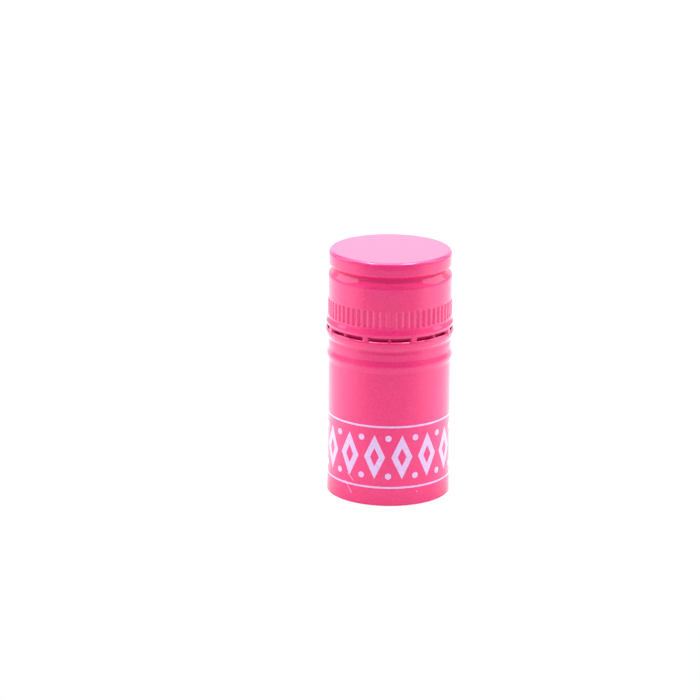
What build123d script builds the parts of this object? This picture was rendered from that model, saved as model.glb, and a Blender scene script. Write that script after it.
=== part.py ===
# Long-skirt aluminium screw cap for a 30 x 60 mm wine finish, as it is before it is rolled on to a bottle.
# It is one thin drawn shell, with the liner disc seated under its closed top.
# The origin is the centre of the open bottom edge, +Z runs up the cap's axis, and sizes are in millimetres.
# Heights are counted down from the top as levels, because the head stays the same on a longer skirt.

import os
from math import atan2, copysign, cos, degrees, radians, tan

from build123d import *

# Overall size of the drawn shell
height = 60.0
skirt_radius = 14.9
wall = 0.23

# Bends are drawn as flats that turn by about this many degrees each
flat_turn = 45.0
sharp = 0.0

# Liner disc under the closed top
liner_thickness = 2.0
liner_clearance = 0.07
liner_corner_clearance = 0.04

# Rim round the top, deep enough for the liner
rim_radius = 14.85
top_edge_bend = 0.95
liner_play = 0.37

# Groove rolled in under the rim, which keeps the liner in, and the shoulder that comes out below it
groove_depth = 0.97
groove_fall = 1.8
shoulder_rise = 1.45
head_radius = 14.96
plain_band = 5.75

# Knurled band: flutes pressed in from outside, all round the wall of the head
flute_count = 60
flute_turn = 1.5
flute_length = 4.2
flute_width = 1.25
flute_depth = 0.32
flute_lead = 0.1
rib_root = 0.03
flute_gap = 0.12

# Tear bead: two lips rolled out from the wall and curled in towards the slit between them
bead_height = 0.67
upper_lip_rise = 1.0
upper_lip_bend = 0.45
upper_lip_fall = 0.9
lip_curl = 0.43
slit_height = 0.9
lower_lip_rise = 0.45
lower_lip_bend = 0.4
lower_lip_fall = 2.0

# Bridges over the slit: wide ones level with the lips, and narrow ones pressed in half way between them
bridge_count = 8
bridge_wall = 0.2
bridge_width = 1.1
bridge_inset = 0.14
small_bridge_width = 0.5
small_bridge_lap = 0.1

# Second bead, which stays on the skirt
hold_bead_gap = 2.85
hold_bead_run = 1.25
hold_bead_height = 0.4

# Levels and radii that follow from the sizes above
rim_end_level = wall + liner_thickness + liner_play
groove_level = rim_end_level + groove_fall
shoulder_level = groove_level + shoulder_rise
flute_start_level = shoulder_level + plain_band
flute_end_level = flute_start_level + flute_length
upper_foot_level = flute_end_level + wall + flute_gap
upper_crest_level = upper_foot_level + upper_lip_rise
slit_top_level = upper_crest_level + upper_lip_fall
slit_bottom_level = slit_top_level + slit_height
lower_crest_level = slit_bottom_level + lower_lip_rise
lower_foot_level = lower_crest_level + lower_lip_fall
hold_foot_level = lower_foot_level + hold_bead_gap
bead_radius = skirt_radius + bead_height
lip_end_radius = bead_radius - lip_curl
bridge_radius = bead_radius - bridge_inset
flank_angle = atan2(flute_depth, flute_width / 2)


def bend(before, corner, after, radius):
    """Points along a bend between two straight runs that would meet at a corner."""
    way_in, way_out = (corner - before).normalized(), (after - corner).normalized()
    turn = way_in.get_angle(way_out)
    centre = corner + (way_out - way_in).normalized() * (radius / cos(radians(turn / 2)))
    start = corner - way_in * (radius * tan(radians(turn / 2)))
    flats = max(1, round(turn / flat_turn))
    step = copysign(turn / flats, way_in.cross(way_out).Z)
    return [centre + (start - centre).rotate(Axis.Z, step * index) for index in range(flats + 1)]


def bent_line(corners):
    """Points of a line through (radius, level, bend radius) corners, sharp where that bend radius is 0."""
    points = [Vector(radius, height - level) for radius, level, _ in corners]
    line = [points[0]]
    for before, corner, after, (_, _, bend_radius) in zip(points, points[1:], points[2:], corners[1:]):
        line += bend(before, corner, after, bend_radius) if bend_radius else [corner]
    return line + [points[-1]]


def pressed_section(start_depth, apex_depth):
    """Vs that point at the axis, all round the head, from one depth below its outside to another."""
    half_width = (apex_depth - start_depth) / tan(flank_angle)
    with PolarLocations(head_radius - start_depth, flute_count, start_angle=flute_turn):
        Polygon((start_depth - apex_depth, 0), (0, -half_width), (0, half_width), align=None)


def radial_plane(angle, width, radius):
    """The plane through the axis where a piece of a width at a radius starts, if its middle is at the angle."""
    return Plane.XZ.rotated((0, 0, angle - degrees(width / radius) / 2))


head_corners = [
    (0, 0, sharp),
    (rim_radius, 0, top_edge_bend),
    (rim_radius, rim_end_level, sharp),
    (rim_radius - groove_depth, groove_level, sharp),
    (head_radius, shoulder_level, sharp),
    (head_radius, upper_foot_level, sharp),
    (bead_radius, upper_crest_level, upper_lip_bend),
    (lip_end_radius, slit_top_level, sharp),
]
skirt_corners = [
    (lip_end_radius, slit_bottom_level, sharp),
    (bead_radius, lower_crest_level, lower_lip_bend),
    (skirt_radius, lower_foot_level, sharp),
    (skirt_radius, hold_foot_level, sharp),
    (skirt_radius + hold_bead_height, hold_foot_level + hold_bead_run, sharp),
    (skirt_radius, hold_foot_level + 2 * hold_bead_run, sharp),
    (skirt_radius, height, sharp),
]
small_bridge_angles = [turn * 360 / bridge_count for turn in range(bridge_count)]
bridge_angles = [angle + 180 / bridge_count for angle in small_bridge_angles]

with BuildPart() as shell:
    # Head and skirt: the outside from the centre of the top to the bottom edge, one wall thick
    for corners in (head_corners, skirt_corners):
        with BuildSketch(Plane.XZ):
            with BuildLine():
                Polyline(*bent_line(corners))
                offset(amount=wall, side=Side.RIGHT, kind=Kind.INTERSECTION)
            make_face()
    revolve(axis=Axis.Z)

    # Ribs inside, one wall larger than the flutes on every side, because pressing keeps the wall's thickness
    with BuildSketch(Plane.XY.offset(height - flute_end_level - wall)):
        pressed_section(wall - rib_root, flute_depth + wall / cos(flank_angle))
    extrude(amount=flute_length + 2 * wall)

    # Flutes outside
    with BuildSketch(Plane.XY.offset(height - flute_end_level)):
        pressed_section(-flute_lead, flute_depth)
    extrude(amount=flute_length, mode=Mode.SUBTRACT)

    # Wide bridges, level with the lips
    with BuildSketch(*[radial_plane(angle, bridge_width, bridge_radius) for angle in bridge_angles]):
        with Locations((bridge_radius - bridge_wall / 2, height - (upper_crest_level + lower_crest_level) / 2)):
            Rectangle(bridge_wall, lower_crest_level - upper_crest_level)
    revolve(axis=Axis.Z, revolution_arc=degrees(bridge_width / bridge_radius))

    # Narrow bridges between the curled ends of the lips
    with BuildSketch(*[radial_plane(angle, small_bridge_width, lip_end_radius) for angle in small_bridge_angles]):
        with Locations((lip_end_radius - bridge_wall / 2, height - slit_top_level - slit_height / 2)):
            Rectangle(bridge_wall, slit_height + 2 * small_bridge_lap)
    revolve(axis=Axis.Z, revolution_arc=degrees(small_bridge_width / lip_end_radius))

# Liner: a punched disc that fills the rim and lies flat under the closed top
with BuildPart() as liner:
    with BuildSketch(Plane.XY.offset(height - wall - liner_thickness)):
        Circle(rim_radius - wall - liner_clearance)
    extrude(amount=liner_thickness)
    chamfer(liner.edges().group_by(Axis.Z)[-1], top_edge_bend - wall + liner_corner_clearance)

shell.part.label = "shell"
liner.part.label = "liner"

os.makedirs("parts", exist_ok=True)
export_step(shell.part, "parts/shell.step")
export_step(liner.part, "parts/liner.step")
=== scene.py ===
# %% [markdown]
# # A lacquered aluminium screw cap
# This lesson dresses a 30 x 60 mm bottle cap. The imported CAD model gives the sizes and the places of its
# two pieces, the drawn shell and the liner disc. Here each gets a smooth mesh and its real finish: pink
# metallic lacquer outside, bare metal at the cuts, and a white foamed liner. We start by loading the frame.

from math import ceil, cos, degrees, pi, radians, sin, tan

import bpy
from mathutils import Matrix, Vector


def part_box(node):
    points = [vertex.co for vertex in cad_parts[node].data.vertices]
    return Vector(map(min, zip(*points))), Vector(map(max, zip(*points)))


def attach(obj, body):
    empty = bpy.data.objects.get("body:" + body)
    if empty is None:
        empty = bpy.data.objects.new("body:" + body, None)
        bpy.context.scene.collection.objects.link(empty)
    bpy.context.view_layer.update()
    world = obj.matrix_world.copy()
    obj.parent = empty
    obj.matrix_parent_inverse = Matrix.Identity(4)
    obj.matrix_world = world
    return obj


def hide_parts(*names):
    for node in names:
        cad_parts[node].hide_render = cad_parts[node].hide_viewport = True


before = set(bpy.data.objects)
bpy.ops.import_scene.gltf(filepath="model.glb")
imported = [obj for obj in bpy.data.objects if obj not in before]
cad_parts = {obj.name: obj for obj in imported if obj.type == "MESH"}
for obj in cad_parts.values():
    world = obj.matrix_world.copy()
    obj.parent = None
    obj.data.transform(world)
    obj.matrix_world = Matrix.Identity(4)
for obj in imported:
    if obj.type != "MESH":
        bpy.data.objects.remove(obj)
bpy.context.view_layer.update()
MM = 0.001
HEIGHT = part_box("shell")[1].z
print("frame nodes:", sorted(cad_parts), "height in mm:", round(HEIGHT / MM, 2))

# %% [markdown]
# ## Helpers for node trees
# Shapes and finishes below are both made of nodes. Clicking them together is fine for one, but a script is
# easier to read if a node takes one line. So `add` makes a node and fills its inputs, with a value or a
# link, and `calc` does one step of arithmetic. Both work in Geometry Nodes and in materials.

# %% Node helpers
def add(tree, kind, inputs=None, **settings):
    """A new node. An input is named or numbered, and takes a plain value or another node's output."""
    node = tree.nodes.new(kind)
    for name, value in settings.items():
        setattr(node, name, value)
    for key, value in (inputs or {}).items():
        if isinstance(value, bpy.types.NodeSocket):
            tree.links.new(value, node.inputs[key])
        else:
            node.inputs[key].default_value = value
    return node


def calc(tree, operation, *values, clamp=False):
    """The result of one Math node."""
    node = add(tree, "ShaderNodeMath", dict(enumerate(values)), operation=operation, use_clamp=clamp)
    return node.outputs[0]


def new_shape_tree(name, inputs):
    """An empty Geometry Nodes tree with a geometry input, named inputs and a geometry output."""
    tree = bpy.data.node_groups.new(name, "GeometryNodeTree")
    tree.interface.new_socket("Geometry", in_out="OUTPUT", socket_type="NodeSocketGeometry")
    tree.interface.new_socket("Geometry", in_out="INPUT", socket_type="NodeSocketGeometry")
    for label, kind in inputs.items():
        tree.interface.new_socket(label, in_out="INPUT", socket_type="NodeSocket" + kind)
    return tree


def apply_tree(piece, tree, values):
    """Runs a tree on a piece with the given inputs and keeps the result as a plain mesh."""
    modifier = piece.modifiers.new(tree.name, "NODES")
    modifier.node_group = tree
    for item in tree.interface.items_tree:
        if item.in_out == "INPUT" and item.name in values:
            modifier[item.identifier] = values[item.name]
    keep_result(piece)


def keep_result(piece):
    """Swaps a piece's mesh for what its modifiers make of it, and removes the modifiers."""
    evaluated = piece.evaluated_get(bpy.context.evaluated_depsgraph_get())
    mesh = bpy.data.meshes.new_from_object(evaluated)
    piece.modifiers.clear()
    piece.data = mesh
    print(piece.name, "has", len(mesh.polygons), "faces")


print("helpers ready")

# %% [markdown]
# ## The outline of the cap
# The real cap is one disc of sheet metal, drawn to a cup and then rolled between tools while it spins. All
# of it is round apart from the knurl and the slit, so its shape is one outline turned about the axis. The
# outline is a chain of corners, each with the radius of its bend, as on a workshop drawing. Levels count
# down from the top in millimetres. A flat polyline would show its corners in the gloss, so each bend gets
# real arc points. Each long straight run also gets a point just inside both of its ends. Without them the
# smooth shading of a bend would bleed all along the run, and the wall would look tilted in its reflections.
# Under the upper lip the sheet turns in and runs down behind the slit. This flap is lacquered too, and it
# stands in the shade of both lips, which is why a slit in pink metal looks deep crimson and not black.

# %% Sizes of the outline, in millimetres
RIM_RADIUS = 14.85
HEAD_RADIUS = 14.96
SKIRT_RADIUS = 14.9
GROOVE_RADIUS = 13.85
CREST_RADIUS = 15.45
WALL = 0.23
FLUTE_TOP, FLUTE_BOTTOM = 11.6, 15.8
UPPER_CREST, LOWER_CREST = 17.4, 19.6
SLIT_TOP, SLIT_BOTTOM = 18.15, 19.08
ARC_STEP = 18.0
LONG_RUN, HOLD = 0.6, 0.12

# (radius, level, bend radius)
HEAD_CORNERS = [
    (0.0, 0.0, 0.0),
    (RIM_RADIUS - 0.11, 0.0, 0.85),
    (RIM_RADIUS, 1.75, 0.8),
    (RIM_RADIUS, 3.2, 0.4),
    (GROOVE_RADIUS, 4.45, 0.1),
    (HEAD_RADIUS, 5.85, 1.7),
    (HEAD_RADIUS, 16.35, 0.45),
    (CREST_RADIUS, UPPER_CREST, 0.7),
    (15.24, SLIT_TOP, 0.1),
    (14.78, 18.3, 0.0),
    (14.5, 18.62, 0.0),
    (14.42, 19.05, 0.0),
]
SKIRT_CORNERS = [
    (15.02, SLIT_BOTTOM, 0.0),
    (15.24, 19.26, 0.1),
    (CREST_RADIUS, LOWER_CREST, 0.3),
    (15.25, 20.7, 1.2),
    (14.8, 21.5, 0.7),
    (SKIRT_RADIUS, 22.5, 0.0),
    (SKIRT_RADIUS, 24.0, 1.2),
    (15.3, 25.5, 1.3),
    (SKIRT_RADIUS, 27.0, 1.2),
    (SKIRT_RADIUS, HEIGHT / MM, 0.0),
]


def arc_points(before, corner, after, radius):
    """Points of the arc that rounds a corner between two straight runs."""
    way_in = (corner - before).normalized()
    way_out = (after - corner).normalized()
    turn = way_in.angle_signed(way_out)
    cut = abs(radius * tan(turn / 2))
    start = corner - way_in * cut
    side = Vector((way_in.y, -way_in.x)) * (1 if turn > 0 else -1)
    centre = start + side * radius
    steps = max(2, ceil(degrees(abs(turn)) / ARC_STEP))
    spoke = start - centre
    points = []
    for index in range(steps + 1):
        angle = -turn * index / steps
        points.append(centre + Vector((spoke.x * cos(angle) - spoke.y * sin(angle),
                                       spoke.x * sin(angle) + spoke.y * cos(angle))))
    return points


def rounded(corners):
    """The outline's points as (radius, level), with an arc at each corner that has a bend radius."""
    places = [Vector((radius, level)) for radius, level, _ in corners]
    line = [places[0]]
    for before, corner, after, (_, _, bend) in zip(places, places[1:], places[2:], corners[1:]):
        line += arc_points(before, corner, after, bend) if bend else [corner]
    return line + [places[-1]]


def with_hold_points(line):
    """The line with a point just inside both ends of each long run."""
    held = [line[0]]
    for start, end in zip(line, line[1:]):
        step = (end - start).normalized() * HOLD
        if (end - start).length > LONG_RUN:
            held += [start + step, end - step]
        held.append(end)
    return held


head_line = with_hold_points(rounded(HEAD_CORNERS))
skirt_line = with_hold_points(rounded(SKIRT_CORNERS))
print("outline points:", len(head_line), "on the head,", len(skirt_line), "on the skirt")

# %% [markdown]
# ## What each row of the outline knows
# The flutes are pressed in by a toothed wheel with square edges, so they start and end within a few tenths
# of a millimetre. The outline gets extra rows there, and each row carries how deep the wheel has pressed
# it. The rows near the slit carry how far out a bridge holds the metal. A wide bridge stays nearly level
# with the crests. A narrow one starts lower, so it stands up from the lower lip as a small nub.

# %% Rows with their attributes
FLUTE_RAMP = [(-0.35, 0.0), (-0.1, 0.0), (-0.03, 0.1), (0.07, 0.6), (0.18, 0.93), (0.4, 1.0)]
FLUTE_MARGIN_TOP, FLUTE_MARGIN_BOTTOM = 0.4, 0.12
WIDE_RADIUS, NARROW_RADIUS, NARROW_START = 15.34, 15.2, 18.6
TOP_FLARE, BOTTOM_FLARE = 0.5, 1.1
CROWD_TOP, CROWD_FULL_TOP, CROWD_FULL_BOTTOM, CROWD_BOTTOM = 16.1, 16.9, 20.0, 23.0


def flute_rows():
    """(level, share of the full depth) down the knurled band, the same ramp at both of its ends."""
    top = [(FLUTE_TOP + step, share) for step, share in FLUTE_RAMP]
    bottom = [(FLUTE_BOTTOM - step, share) for step, share in reversed(FLUTE_RAMP[1:])]
    return top + bottom


def ramp(value, start, end):
    """0 before start, 1 after end, straight between."""
    return min(1.0, max(0.0, (value - start) / (end - start)))


def held_out_to(level, radius, start):
    """How far out a bridge holds the metal at a level, in metres, and 0 above start and below the crest."""
    return radius * MM if start <= level < LOWER_CREST else 0.0


rows = [(point.x, point.y, 0.0) for point in head_line if point.y < FLUTE_TOP - FLUTE_MARGIN_TOP]
rows += [(HEAD_RADIUS, level, share) for level, share in flute_rows()]
rows += [(point.x, point.y, 0.0) for point in head_line if point.y > FLUTE_BOTTOM + FLUTE_MARGIN_BOTTOM]
slit_row = len(rows) - 1
rows += [(point.x, point.y, 0.0) for point in skirt_line]
levels = [level for _, level, _ in rows]

outline_mesh = bpy.data.meshes.new("outline")
outline_mesh.from_pydata([(radius * MM, 0, HEIGHT - level * MM) for radius, level, _ in rows], [], [])
to_slit_bottom = [ramp(level, SLIT_TOP, SLIT_BOTTOM) for level in levels]
row_values = {
    "knurl": [share for _, _, share in rows],
    "wide": [held_out_to(level, WIDE_RADIUS, UPPER_CREST) for level in levels],
    "narrow": [held_out_to(level, NARROW_RADIUS, NARROW_START) for level in levels],
    "flare": [TOP_FLARE + (BOTTOM_FLARE - TOP_FLARE) * share for share in to_slit_bottom],
    "cut": [1.0 if number in (slit_row, slit_row + 1) else 0.0 for number in range(len(rows))],
    "crowd": [min(ramp(level, CROWD_TOP, CROWD_FULL_TOP), 1 - ramp(level, CROWD_FULL_BOTTOM, CROWD_BOTTOM))
              for level in levels],
}
for label, values in row_values.items():
    outline_mesh.attributes.new(label, "FLOAT", "POINT").data.foreach_set("value", values)
shell = bpy.data.objects.new("shell_lacquered", outline_mesh)
bpy.context.scene.collection.objects.link(shell)
print("rows:", len(rows), "of which the slit follows row", slit_row)

# %% [markdown]
# ## The turned shell as Geometry Nodes
# The Spin tool could turn the outline, but it can't press flutes or leave bridges. Geometry Nodes can, in
# one tree: a flat grid is bent round the axis, with one grid row for each outline row. Its columns then
# look up what the rules say. A flute is a smooth dip that repeats round the head. Along the slit each
# column knows how far it stands from the nearest bridge, which decides whether it is cut open and how far
# the lips have curled in. The columns also crowd towards the bridges there, so that the curled ends of the
# slit get enough of them.

# %% Inputs of the shell tree
shell_tree = new_shape_tree("turned shell", {
    "Columns": "Int", "Flute Count": "Int", "Flute Turn": "Float", "Flute Width": "Float",
    "Flute Depth": "Float", "Bridge Pairs": "Int", "Bead Radius": "Float", "Wide Half": "Float",
    "Narrow Half": "Float", "Wide Flare": "Float", "Narrow Flare": "Float", "Crowding": "Float",
    "Material": "Material",
})
given = add(shell_tree, "NodeGroupInput").outputs


def shell_calc(operation, *values):
    return calc(shell_tree, operation, *values)


outline_size = add(shell_tree, "GeometryNodeAttributeDomainSize", {"Geometry": given["Geometry"]})
row_count = outline_size.outputs["Point Count"]
grid = add(shell_tree, "GeometryNodeMeshGrid", {
    "Vertices X": shell_calc("ADD", given["Columns"], 1), "Vertices Y": row_count})
index = add(shell_tree, "GeometryNodeInputIndex").outputs[0]
column = shell_calc("FLOOR", shell_calc("DIVIDE", index, row_count))
row = shell_calc("SUBTRACT", index, shell_calc("MULTIPLY", column, row_count))


def on_row(field, data_type="FLOAT"):
    """What the outline's point has, for the grid row of the same number."""
    sample = add(shell_tree, "GeometryNodeSampleIndex", data_type=data_type, domain="POINT")
    shell_tree.links.new(given["Geometry"], sample.inputs["Geometry"])
    shell_tree.links.new(field, sample.inputs["Value"])
    shell_tree.links.new(row, sample.inputs["Index"])
    return sample.outputs["Value"]


def row_value(label):
    return on_row(add(shell_tree, "GeometryNodeInputNamedAttribute", {"Name": label}).outputs["Attribute"])


outline_place = on_row(add(shell_tree, "GeometryNodeInputPosition").outputs[0], "FLOAT_VECTOR")
outline_axes = add(shell_tree, "ShaderNodeSeparateXYZ", {0: outline_place})
row_radius, row_height = outline_axes.outputs["X"], outline_axes.outputs["Z"]
even_angle = shell_calc("MULTIPLY", shell_calc("DIVIDE", column, given["Columns"]), 2 * pi)
print("grid and outline are linked")

# %% Distance from the nearest bridge
half_pitch = shell_calc("DIVIDE", pi / 2, given["Bridge Pairs"])
pitch = shell_calc("MULTIPLY", half_pitch, 2)
bridge_number = shell_calc("ROUND", shell_calc("DIVIDE", even_angle, pitch))
bridge_angle = shell_calc("MULTIPLY", bridge_number, pitch)
off_angle = shell_calc("SUBTRACT", even_angle, bridge_angle)
off_share = shell_calc("DIVIDE", shell_calc("ABSOLUTE", off_angle), half_pitch)
crowded_share = shell_calc("POWER", off_share, given["Crowding"])
crowded_off = shell_calc("MULTIPLY", shell_calc("MULTIPLY", shell_calc("SIGN", off_angle), half_pitch),
                         crowded_share)
crowd_shift = shell_calc("MULTIPLY", shell_calc("SUBTRACT", crowded_off, off_angle), row_value("crowd"))
angle = shell_calc("ADD", even_angle, crowd_shift)
is_wide = shell_calc("ABSOLUTE", shell_calc("MODULO", bridge_number, 2))


def wide_or_narrow(wide, narrow):
    difference = shell_calc("SUBTRACT", wide, narrow)
    return shell_calc("ADD", narrow, shell_calc("MULTIPLY", difference, is_wide))


off_length = shell_calc("MULTIPLY", shell_calc("MULTIPLY", crowded_share, half_pitch), given["Bead Radius"])
bridge_half = wide_or_narrow(given["Wide Half"], given["Narrow Half"])
from_bridge = shell_calc("SUBTRACT", off_length, bridge_half)
beyond = shell_calc("MAXIMUM", from_bridge, 0)
print("each column knows its bridge")

# %% Lips and flutes
full_flare = wide_or_narrow(given["Wide Flare"], given["Narrow Flare"])
flare = shell_calc("MULTIPLY", full_flare, row_value("flare"))
away = add(shell_tree, "ShaderNodeMapRange", {"Value": beyond, "From Max": flare},
           interpolation_type="SMOOTHSTEP").outputs["Result"]
held_radius = wide_or_narrow(row_value("wide"), row_value("narrow"))
lift = shell_calc("MAXIMUM", shell_calc("SUBTRACT", held_radius, row_radius), 0)
held_out = shell_calc("MULTIPLY", lift, shell_calc("SUBTRACT", 1, away))

flute_angle = shell_calc("SUBTRACT", even_angle, given["Flute Turn"])
flute_number = shell_calc("DIVIDE", shell_calc("MULTIPLY", flute_angle, given["Flute Count"]), 2 * pi)
from_valley = shell_calc("PINGPONG", flute_number, 0.5)
bead_length = shell_calc("MULTIPLY", given["Bead Radius"], 2 * pi)
flute_pitch = shell_calc("DIVIDE", bead_length, given["Flute Count"])
half_width = shell_calc("MULTIPLY", given["Flute Width"], 0.5)
valley_length = shell_calc("MULTIPLY", from_valley, flute_pitch)
valley_share = shell_calc("MINIMUM", shell_calc("DIVIDE", valley_length, half_width), 1)
wave = shell_calc("COSINE", shell_calc("MULTIPLY", valley_share, pi))
dip = shell_calc("MULTIPLY", shell_calc("ADD", wave, 1), 0.5)
pressed = shell_calc("MULTIPLY", shell_calc("MULTIPLY", dip, given["Flute Depth"]), row_value("knurl"))
radius = shell_calc("ADD", shell_calc("SUBTRACT", row_radius, pressed), held_out)
print("lips and flutes are rules of the tree")

# %% Place the grid, open the slit and close the seam
MERGE_DISTANCE = 0.002 * MM
IN_THE_CUT = 0.9
place = add(shell_tree, "ShaderNodeCombineXYZ", {
    "X": shell_calc("MULTIPLY", radius, shell_calc("COSINE", angle)),
    "Y": shell_calc("MULTIPLY", radius, shell_calc("SINE", angle)),
    "Z": row_height})
marked = add(shell_tree, "GeometryNodeStoreNamedAttribute", {
    "Geometry": grid.outputs["Mesh"], "Name": "from_bridge", "Value": from_bridge},
    data_type="FLOAT", domain="POINT")
slit_marked = add(shell_tree, "GeometryNodeStoreNamedAttribute", {
    "Geometry": marked.outputs[0], "Name": "cut_row", "Value": row_value("cut")},
    data_type="FLOAT", domain="POINT")
turned = add(shell_tree, "GeometryNodeSetPosition", {
    "Geometry": slit_marked.outputs[0], "Position": place.outputs[0]})
face_gap = add(shell_tree, "GeometryNodeInputNamedAttribute", {"Name": "from_bridge"}).outputs["Attribute"]
face_cut = add(shell_tree, "GeometryNodeInputNamedAttribute", {"Name": "cut_row"}).outputs["Attribute"]
is_open = add(shell_tree, "FunctionNodeBooleanMath", {
    0: shell_calc("GREATER_THAN", face_gap, 0), 1: shell_calc("GREATER_THAN", face_cut, IN_THE_CUT)},
    operation="AND")
opened = add(shell_tree, "GeometryNodeDeleteGeometry", {
    "Geometry": turned.outputs[0], "Selection": is_open.outputs[0]}, domain="FACE")
closed = add(shell_tree, "GeometryNodeMergeByDistance", {
    "Geometry": opened.outputs[0], "Distance": MERGE_DISTANCE})
outward = add(shell_tree, "GeometryNodeFlipFaces", {"Mesh": closed.outputs[0]})
smooth = add(shell_tree, "GeometryNodeSetShadeSmooth", {"Geometry": outward.outputs[0]})
realized = add(shell_tree, "GeometryNodeRealizeInstances", {"Geometry": smooth.outputs[0]})
painted = add(shell_tree, "GeometryNodeSetMaterial", {
    "Geometry": realized.outputs[0], "Material": given["Material"]})
add(shell_tree, "NodeGroupOutput", {"Geometry": painted.outputs[0]})
print("shell tree has", len(shell_tree.nodes), "nodes")

# %% [markdown]
# ## The lacquer
# The outside is aluminium under a pink metallic lacquer with a clear gloss on it. A plain colour would look
# like plastic. A share of metal in the base gives the tinted reflections, and the coat adds the white ones
# that grow towards the edges. Tiny flakes in the lacquer tilt the light a little, so a fine cell pattern
# turns the normal of the base and not that of the coat. The lower skirt carries a lilac print. It is ink
# under the same gloss, so it is only another colour with less metal in it. Two pale scratches and a small
# mark near the bottom edge are the wear that this cap has.

# %% Masks from the object's own coordinates
def new_material(name):
    material = bpy.data.materials.new(name)
    material.use_nodes = True
    return material, material.node_tree, material.node_tree.nodes["Principled BSDF"]


lacquer, paint, paint_shader = new_material("pink_lacquer")


def paint_calc(operation, *values, clamp=False):
    return calc(paint, operation, *values, clamp=clamp)


def length_of(across, along):
    """The length of the line with these two sides."""
    return paint_calc("SQRT", paint_calc("ADD", paint_calc("MULTIPLY", across, across),
                                         paint_calc("MULTIPLY", along, along)))


paint_place = add(paint, "ShaderNodeTexCoord").outputs["Object"]
paint_axes = add(paint, "ShaderNodeSeparateXYZ", {0: paint_place})
around = paint_calc("MULTIPLY", paint_calc("ARCTAN2", paint_axes.outputs["Y"], paint_axes.outputs["X"]),
                    SKIRT_RADIUS)
up = paint_calc("MULTIPLY", paint_axes.outputs["Z"], 1 / MM)

PRINT_MIDDLE, PRINT_HALF, PRINT_LINE = 12.2, 7.6, 0.45
LOZENGE_COUNT, LOZENGE_WIDTH, LOZENGE_HEIGHT, LOZENGE_HOLE = 14, 5.2, 11.0, 0.42
DOT_RADIUS = 0.75
lozenge_pitch = 2 * pi * SKIRT_RADIUS / LOZENGE_COUNT
off_middle = paint_calc("ABSOLUTE", paint_calc("SUBTRACT", up, PRINT_MIDDLE))
line_mask = paint_calc("COMPARE", off_middle, PRINT_HALF, PRINT_LINE / 2)
along = paint_calc("PINGPONG", around, lozenge_pitch / 2)
lozenge = paint_calc("ADD", paint_calc("DIVIDE", along, LOZENGE_WIDTH / 2),
                     paint_calc("DIVIDE", off_middle, LOZENGE_HEIGHT / 2))
lozenge_mask = paint_calc("MULTIPLY", paint_calc("LESS_THAN", lozenge, 1),
                          paint_calc("GREATER_THAN", lozenge, LOZENGE_HOLE))
dot_along = paint_calc("SUBTRACT", lozenge_pitch / 2, along)
dot_up = paint_calc("SUBTRACT", off_middle, LOZENGE_HEIGHT / 2 - DOT_RADIUS)
dot_mask = paint_calc("LESS_THAN", length_of(dot_along, dot_up), DOT_RADIUS)
ink = paint_calc("MAXIMUM", paint_calc("MAXIMUM", line_mask, lozenge_mask), dot_mask)
print("print band from", PRINT_MIDDLE - PRINT_HALF, "to", PRINT_MIDDLE + PRINT_HALF, "mm")

# %% Scratches, from one (around, up) place to another in millimetres
SCRATCH_WIDTH = 0.2
SCRATCHES = [((-34.0, 7.3), (-32.2, 5.5)), ((-34.7, 5.1), (-32.8, 2.4)), ((-16.3, 3.45), (-16.1, 3.15))]


def scratch_mask(start, end):
    """1 on the straight line between two places, and 0 from its edge on."""
    run = Vector(end) - Vector(start)
    off_around, off_up = paint_calc("SUBTRACT", around, start[0]), paint_calc("SUBTRACT", up, start[1])
    part_around, part_up = paint_calc("MULTIPLY", off_around, run.x), paint_calc("MULTIPLY", off_up, run.y)
    run_part = paint_calc("ADD", part_around, part_up)
    share = paint_calc("DIVIDE", run_part, run.length_squared, clamp=True)
    beside = paint_calc("SUBTRACT", off_around, paint_calc("MULTIPLY", share, run.x))
    above = paint_calc("SUBTRACT", off_up, paint_calc("MULTIPLY", share, run.y))
    return add(paint, "ShaderNodeMapRange", {
        "Value": length_of(beside, above), "From Min": 0.0, "From Max": SCRATCH_WIDTH / 2,
        "To Min": 1.0, "To Max": 0.0}).outputs[0]


scratched = 0
for start, end in SCRATCHES:
    scratched = paint_calc("MAXIMUM", scratched, scratch_mask(start, end))
print("scratches:", len(SCRATCHES))

# %% Lacquer shader
PINK = (0.750, 0.019, 0.165, 1)
LILAC = (0.62, 0.44, 0.72, 1)
SCRATCH_PINK = (0.95, 0.55, 0.68, 1)
METAL_SHARE, INK_METAL_LOSS = 0.25, 0.2
FLAKE_SCALE, FLAKE_LIGHT = 3200, 0.09
flakes = add(paint, "ShaderNodeTexVoronoi", {"Vector": paint_place, "Scale": FLAKE_SCALE})
flake_tint = add(paint, "ShaderNodeSeparateColor", {0: flakes.outputs["Color"]}).outputs[0]
flake_bump = add(paint, "ShaderNodeBump", {"Height": flake_tint, "Strength": 0.25, "Distance": 0.02 * MM})
flake_light = add(paint, "ShaderNodeMapRange", {
    "Value": flake_tint, "To Min": 1 - FLAKE_LIGHT, "To Max": 1 + FLAKE_LIGHT})
printed = add(paint, "ShaderNodeMix", {6: PINK, 7: LILAC, 0: ink}, data_type="RGBA").outputs[2]
worn = add(paint, "ShaderNodeMix", {6: printed, 7: SCRATCH_PINK, 0: scratched}, data_type="RGBA").outputs[2]
base_color = add(paint, "ShaderNodeVectorMath", {0: worn, 1: flake_light.outputs[0]}, operation="MULTIPLY")
paint.links.new(base_color.outputs[0], paint_shader.inputs["Base Color"])
paint.links.new(paint_calc("SUBTRACT", METAL_SHARE, paint_calc("MULTIPLY", ink, INK_METAL_LOSS)),
                paint_shader.inputs["Metallic"])
paint.links.new(flake_bump.outputs[0], paint_shader.inputs["Normal"])
paint_shader.inputs["Roughness"].default_value = 0.42
paint_shader.inputs["Specular IOR Level"].default_value = 0.0
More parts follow.
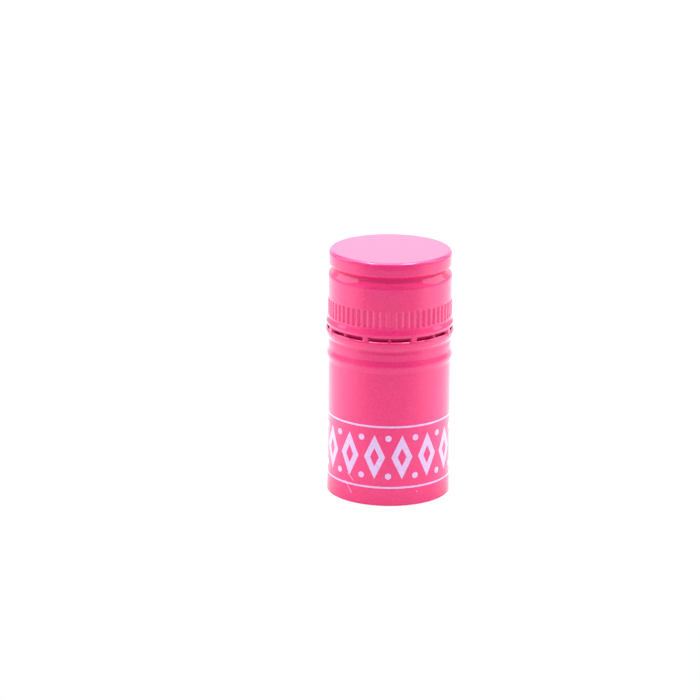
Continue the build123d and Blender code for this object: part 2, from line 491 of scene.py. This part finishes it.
paint_shader.inputs["Coat Weight"].default_value = 1.0
paint_shader.inputs["Coat Roughness"].default_value = 0.05
paint_shader.inputs["Coat IOR"].default_value = 1.6
print("lacquer has", len(paint.nodes), "nodes")

# %% [markdown]
# ## Inside, cut edges and liner
# Little of the inside is ever seen. The thin line under the flap is dark red, so the inside gets a red
# varnish with metal in it, brushed along its height by the drawing punch. At the bottom edge and the cut
# the metal is bare. The liner is foamed sheet with a smooth film on it, which is white, slightly soft in
# gloss and faintly dimpled.

# %% Metal and liner materials
def stretched_noise(tree, along_scale, across_scale):
    place = add(tree, "ShaderNodeTexCoord").outputs["Object"]
    scales = (across_scale, across_scale, along_scale)
    mapping = add(tree, "ShaderNodeMapping", {"Vector": place, "Scale": scales})
    noise = add(tree, "ShaderNodeTexNoise", {"Vector": mapping.outputs[0], "Scale": 1.0, "Detail": 3.0})
    return noise.outputs[0]


def brushed_material(name, color, metal, roughness, spread=0.07):
    material, tree, shader = new_material(name)
    streaks = stretched_noise(tree, 90, 2600)
    grain = add(tree, "ShaderNodeMapRange", {
        "Value": streaks, "To Min": roughness - spread, "To Max": roughness + spread})
    tree.links.new(grain.outputs[0], shader.inputs["Roughness"])
    bump = add(tree, "ShaderNodeBump", {"Height": streaks, "Strength": 0.25, "Distance": 0.02 * MM})
    tree.links.new(bump.outputs[0], shader.inputs["Normal"])
    shader.inputs["Base Color"].default_value = color
    shader.inputs["Metallic"].default_value = metal
    return material


inside_varnish = brushed_material("red_varnish_inside", (0.93, 0.06, 0.22, 1), 0.6, 0.4)
cut_metal = brushed_material("bare_cut", (0.86, 0.86, 0.88, 1), 1.0, 0.28)

liner_film, film, film_shader = new_material("liner_film")
film_noise = stretched_noise(film, 700, 700)
film_bump = add(film, "ShaderNodeBump", {"Height": film_noise, "Strength": 0.3, "Distance": 0.05 * MM})
film.links.new(film_bump.outputs[0], film_shader.inputs["Normal"])
film_shader.inputs["Base Color"].default_value = (0.82, 0.82, 0.80, 1)
film_shader.inputs["Roughness"].default_value = 0.45
print("materials:", [material.name for material in (lacquer, inside_varnish, cut_metal, liner_film)])

# %% [markdown]
# ## Turn the shell and give it its wall
# The tree makes the outside face only. Solidify then gives it the sheet's real thickness, inwards, and its
# material offsets put the varnish inside and the bare metal on every cut edge in one go.

# %% Make the shell
SHARP_ANGLE = radians(60)
apply_tree(shell, shell_tree, {
    "Columns": 480, "Flute Count": 60, "Flute Turn": radians(1.5), "Flute Width": 1.25 * MM,
    "Flute Depth": 0.32 * MM, "Bridge Pairs": 8, "Bead Radius": 15.3 * MM, "Wide Half": 0.5 * MM,
    "Narrow Half": 0.15 * MM, "Wide Flare": 0.7 * MM, "Narrow Flare": 0.3 * MM, "Crowding": 1.557,
    "Material": lacquer,
})
for label in ("from_bridge", "cut_row"):
    shell.data.attributes.remove(shell.data.attributes[label])
for material in (inside_varnish, cut_metal):
    shell.data.materials.append(material)
wall = shell.modifiers.new("wall", "SOLIDIFY")
wall.thickness = WALL * MM
wall.offset = -1
wall.material_offset = 1
wall.material_offset_rim = 2
keep_result(shell)
shell.data.set_sharp_from_angle(angle=SHARP_ANGLE)
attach(shell, "root")
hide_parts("shell")

# %% [markdown]
# ## The liner
# The liner is a disc punched from sheet, and the roof's corner has pressed its top edge round. A lathe
# shape as plain as this needs no node tree: the Screw modifier turns a short outline of its section.

# %% Make the liner
LINER_RADIUS, LINER_THICKNESS = 14.55, 2.0
LINER_EDGES = [(0, LINER_THICKNESS), (6, LINER_THICKNESS), (LINER_RADIUS - 0.8, LINER_THICKNESS),
               (LINER_RADIUS - 0.2, LINER_THICKNESS - 0.35), (LINER_RADIUS, LINER_THICKNESS - 0.85),
               (LINER_RADIUS, 0.12), (LINER_RADIUS - 0.12, 0), (6, 0), (0, 0)]
liner_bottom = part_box("liner")[0].z
section = bpy.data.meshes.new("liner_section")
section.from_pydata([(radius * MM, 0, liner_bottom + up_mm * MM) for radius, up_mm in LINER_EDGES],
                    [(i, i + 1) for i in range(len(LINER_EDGES) - 1)], [])
liner = bpy.data.objects.new("liner_disc", section)
bpy.context.scene.collection.objects.link(liner)
turn = liner.modifiers.new("turn", "SCREW")
turn.steps = turn.render_steps = 160
turn.use_merge_vertices = True
turn.use_normal_calculate = True
turn.merge_threshold = MERGE_DISTANCE
turn.use_smooth_shade = True
keep_result(liner)
liner.data.set_sharp_from_angle(angle=SHARP_ANGLE)
liner.data.materials.append(liner_film)
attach(liner, "root")
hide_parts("liner")

# %% [markdown]
# ## Floor, lights and camera
# Glossy metal is a picture of what stands round it, so the studio matters as much as the lacquer. An
# upright wall that is seen from above mirrors the table in front of it. So the white paper beside the cap
# is what makes its sides pale. In front of the cap a wedge of the paper gets painted shade, a grey in its
# colour that stands for the shade of the camera and its maker, which keeps the middle saturated. Far in
# front a painted fall-off darkens the paper's colour further. The camera and the mirrors see the paper
# brighter than it lights the cap, so the background is white at a plain light level. Faces that tilt up
# mirror the room instead, which is dimmer behind the camera and overhead.

# %% Floor and world
FLOOR_HALF = 1.5
# The grey wedge in front of the cap is painted shade in the paper's colour.
SHADE_WEDGE_FRONT, SHADE_WEDGE_END, SHADE_WEDGE_SPREAD = -0.08, 0.06, 0.6
PAINTED_SHADE_GREY, PAPER_WHITE = 0.4, 0.88
# Far in front the paper's colour darkens: a painted fall-off of light.
FAR_SHADE_FRONT, FAR_SHADE_END, FAR_SHADE_LEVEL = -0.5, -0.28, 0.3
CAMERA_GLOW, MIRROR_GLOW, GLOW_STRENGTH = 0.9, 0.3, 1.0
floor_mesh = bpy.data.meshes.new("floor")
floor_mesh.from_pydata([(-FLOOR_HALF, -FLOOR_HALF, 0), (FLOOR_HALF, -FLOOR_HALF, 0),
                        (FLOOR_HALF, FLOOR_HALF, 0), (-FLOOR_HALF, FLOOR_HALF, 0)], [], [(0, 1, 2, 3)])
floor = bpy.data.objects.new("floor", floor_mesh)
bpy.context.scene.collection.objects.link(floor)
paper_material = bpy.data.materials.new("white_paper")
paper_material.use_nodes = True
paper = paper_material.node_tree
paper.nodes.clear()
paper_axes = add(paper, "ShaderNodeSeparateXYZ", {0: add(paper, "ShaderNodeTexCoord").outputs["Object"]})
# Painted shade: the paper's diffuse colour turns grey in a wedge in front of the cap.
painted_shade_wedge = calc(paper, "MULTIPLY", calc(paper, "ABSOLUTE", paper_axes.outputs["X"]), SHADE_WEDGE_SPREAD)
painted_front_shade = add(paper, "ShaderNodeMapRange", {
    "Value": calc(paper, "ADD", paper_axes.outputs["Y"], painted_shade_wedge), "From Min": SHADE_WEDGE_FRONT,
    "From Max": SHADE_WEDGE_END, "To Min": PAINTED_SHADE_GREY, "To Max": PAPER_WHITE}, interpolation_type="SMOOTHSTEP")
# Painted shade: the paper's diffuse colour darkens far in front of the cap.
painted_far_shade = add(paper, "ShaderNodeMapRange", {
    "Value": paper_axes.outputs["Y"], "From Min": FAR_SHADE_FRONT, "From Max": FAR_SHADE_END,
    "To Min": FAR_SHADE_LEVEL, "To Max": 1.0}, interpolation_type="SMOOTHSTEP")
paper_diffuse = add(paper, "ShaderNodeBsdfDiffuse", {
    "Color": calc(paper, "MULTIPLY", painted_front_shade.outputs[0], painted_far_shade.outputs[0])})
paper_glow = add(paper, "ShaderNodeEmission", {"Color": (1, 1, 1, 1), "Strength": GLOW_STRENGTH})
paper_path = add(paper, "ShaderNodeLightPath")
paper_seen = calc(paper, "ADD", calc(paper, "MULTIPLY", paper_path.outputs["Is Camera Ray"], CAMERA_GLOW),
                  calc(paper, "MULTIPLY", paper_path.outputs["Is Glossy Ray"], MIRROR_GLOW))
paper_mix = add(paper, "ShaderNodeMixShader", {
    0: paper_seen, 1: paper_diffuse.outputs[0], 2: paper_glow.outputs[0]})
add(paper, "ShaderNodeOutputMaterial", {"Surface": paper_mix.outputs[0]})
floor.data.materials.append(paper_material)

AMBIENT = 0.94
ROOM_FRONT, ROOM_BACK = 0.38, 1.00
ROOM_TURN_FRONT, ROOM_TURN_BACK = -0.9, -0.3
ROOM_LOW, ROOM_HIGH, ROOM_TOP_SHARE = 0.3, 0.7, 0.5
world = bpy.data.worlds.new("studio")
bpy.context.scene.world = world
world.use_nodes = True
sky = world.node_tree
sky.nodes.clear()
sky_axes = add(sky, "ShaderNodeSeparateXYZ", {0: add(sky, "ShaderNodeTexCoord").outputs["Generated"]})
room = add(sky, "ShaderNodeMapRange", {
    "Value": sky_axes.outputs["Y"], "From Min": ROOM_TURN_FRONT, "From Max": ROOM_TURN_BACK,
    "To Min": ROOM_FRONT, "To Max": ROOM_BACK}, interpolation_type="SMOOTHSTEP")
room_height = add(sky, "ShaderNodeMapRange", {
    "Value": sky_axes.outputs["Z"], "From Min": ROOM_LOW, "From Max": ROOM_HIGH,
    "To Min": 1.0, "To Max": ROOM_TOP_SHARE}, interpolation_type="SMOOTHSTEP")
room_seen = calc(sky, "MULTIPLY", room.outputs[0], room_height.outputs[0])
sky_path = add(sky, "ShaderNodeLightPath")
sky_seen = calc(sky, "MAXIMUM", sky_path.outputs["Is Camera Ray"], sky_path.outputs["Is Glossy Ray"])
sky_strength = add(sky, "ShaderNodeMix", {0: sky_seen, 2: AMBIENT, 3: room_seen}).outputs[0]
sky_light = add(sky, "ShaderNodeBackground", {"Color": (1, 1, 1, 1), "Strength": sky_strength})
add(sky, "ShaderNodeOutputWorld", {"Surface": sky_light.outputs[0]})
print("paper and room are white, and dimmer towards the camera")

# %% Lights
TOP_POWER = 6.47
STRIP_POWER = 1.00
SIDE_POWER = 0.77
BACK_POWER = 1.16
WHITE, PALE_LILAC = (1.0, 1.0, 1.0), (0.95, 0.9, 1.0)


def soft_box(name, place, aim, width, depth, power, color=WHITE):
    """An area light at a place, turned towards a point, both in metres, or facing down without a point."""
    lamp = bpy.data.lights.new(name, "AREA")
    lamp.shape = "RECTANGLE"
    lamp.size, lamp.size_y, lamp.energy, lamp.color = width, depth, power, color
    holder = bpy.data.objects.new(name, lamp)
    holder.location = place
    if aim:
        holder.rotation_euler = (Vector(aim) - Vector(place)).to_track_quat("-Z", "Y").to_euler()
    bpy.context.scene.collection.objects.link(holder)
    return holder


middle = (0, 0, HEIGHT / 2)
boxes = [
    soft_box("top_box", (0, 0.1, 0.65), middle, 0.8, 0.7, TOP_POWER),
    soft_box("left_strip", (-0.2, -0.02, 0.6), None, 0.12, 0.35, STRIP_POWER),
    soft_box("right_strip", (0.18, -0.02, 0.6), None, 0.12, 0.35, STRIP_POWER),
    soft_box("left_box", (-0.5, 0.15, 0.35), (-0.15, 0.05, 0), 0.4, 0.4, SIDE_POWER),
    soft_box("right_box", (0.5, 0.15, 0.35), (0.15, 0.05, 0), 0.4, 0.4, SIDE_POWER),
    soft_box("back_box", (0, 0.9, 0.3), middle, 1.4, 0.5, BACK_POWER, PALE_LILAC),
]
print("soft boxes:", len(boxes))

# %% [markdown]
# ## The camera
# The photograph was taken with a long lens from a little above. The camera stands on the -Y side, at the
# distance and height that make the top's ellipse and the skirt's taper come out alike, rolled by under a
# degree. Its small shift puts the cap a little to the right of the middle.

# %% Camera
ELEVATION, ROLL = radians(16.65), radians(0.68)
DISTANCE = 772.2 * MM
TARGET = Vector((0, 0, 29.7 * MM))
LENS, SENSOR = 164.2, 36
IMAGE_SIZE = 700
SHIFT_X, SHIFT_Y = -39.28, 19.76
camera_data = bpy.data.cameras.new("camera")
camera_data.sensor_width = SENSOR
camera_data.lens = LENS
camera_data.shift_x = SHIFT_X / IMAGE_SIZE
camera_data.shift_y = SHIFT_Y / IMAGE_SIZE
camera = bpy.data.objects.new("camera", camera_data)
bpy.context.scene.collection.objects.link(camera)
camera.location = TARGET + DISTANCE * Vector((0, -cos(ELEVATION), sin(ELEVATION)))
camera.rotation_euler = (TARGET - camera.location).to_track_quat("-Z", "Y").to_euler()
camera.rotation_euler.rotate_axis("Z", ROLL)
bpy.context.scene.camera = camera
bpy.context.scene.view_settings.view_transform = "Standard"
print("camera at", tuple(round(value, 3) for value in camera.location))
